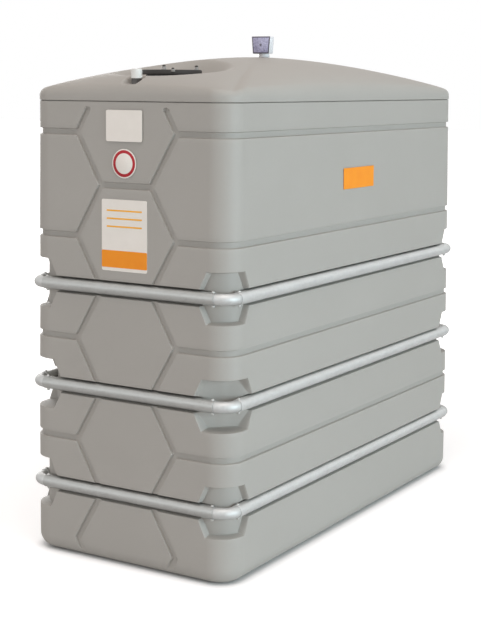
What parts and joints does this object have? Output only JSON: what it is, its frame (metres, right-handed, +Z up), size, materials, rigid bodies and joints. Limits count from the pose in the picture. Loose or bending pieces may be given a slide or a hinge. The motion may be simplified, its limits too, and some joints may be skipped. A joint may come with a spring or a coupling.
{
  "type": "bunded diesel fuel tank",
  "caption": "Tall moulded double-walled fuel tank with a domed lid, tube bands in channels, corner pockets, hexagon grooves, manhole cover, filler cap and level gauge.",
  "frame": {"origin": "on the floor, under the middle of the whole tank", "axes": "+Z up, +X across the tank's width, -Y out of the short face nearest the manhole"},
  "size_m": [0.8276, 1.7626, 1.7626],
  "materials": {
    "tank_grey": "rotomoulded polyethylene, fine grain, satin",
    "lid_grey": "rotomoulded polyethylene, fine grain, satin",
    "tube_steel": "hot-dip galvanised, dull with soft bright streaks",
    "elbow_steel": "hot-dip galvanised, dull",
    "cover_black": "black moulded, satin",
    "neck_grey": "dark grey moulded, ribbed",
    "cap_white": "white moulded",
    "gauge_white": "white moulded",
    "gauge_window": "lilac-grey window",
    "bolt_steel": "zinc plated, dull",
    "plate_white": "white plates and labels, bare",
    "print_red": "red rim of the round sign",
    "print_orange": "orange rules and sticker"
  },
  "bodies": {
    "root": {"tank_shell": "tank_grey", "tank_lid": "lid_grey", "manhole_collar": "neck_grey", "manhole_cover": "cover_black", "filler_neck": "neck_grey", "filler_cap": "cap_white", "gauge_stem": "gauge_white", "gauge_head": "gauge_white", "gauge_window": "gauge_window", "band_low_front_tube": "tube_steel", "band_low_back_tube": "tube_steel", "band_low_left_tube": "tube_steel", "band_low_right_tube": "tube_steel", "band_low_elbow_front_left": "elbow_steel", "band_low_elbow_front_right": "elbow_steel", "band_low_elbow_back_left": "elbow_steel", "band_low_elbow_back_right": "elbow_steel", "band_middle_front_tube": "tube_steel", "band_middle_back_tube": "tube_steel", "band_middle_left_tube": "tube_steel", "band_middle_right_tube": "tube_steel", "band_middle_elbow_front_left": "elbow_steel", "band_middle_elbow_front_right": "elbow_steel", "band_middle_elbow_back_left": "elbow_steel", "band_middle_elbow_back_right": "elbow_steel", "band_high_front_tube": "tube_steel", "band_high_back_tube": "tube_steel", "band_high_left_tube": "tube_steel", "band_high_right_tube": "tube_steel", "band_high_elbow_front_left": "elbow_steel", "band_high_elbow_front_right": "elbow_steel", "band_high_elbow_back_left": "elbow_steel", "band_high_elbow_back_right": "elbow_steel"}
  },
  "joints": []
}
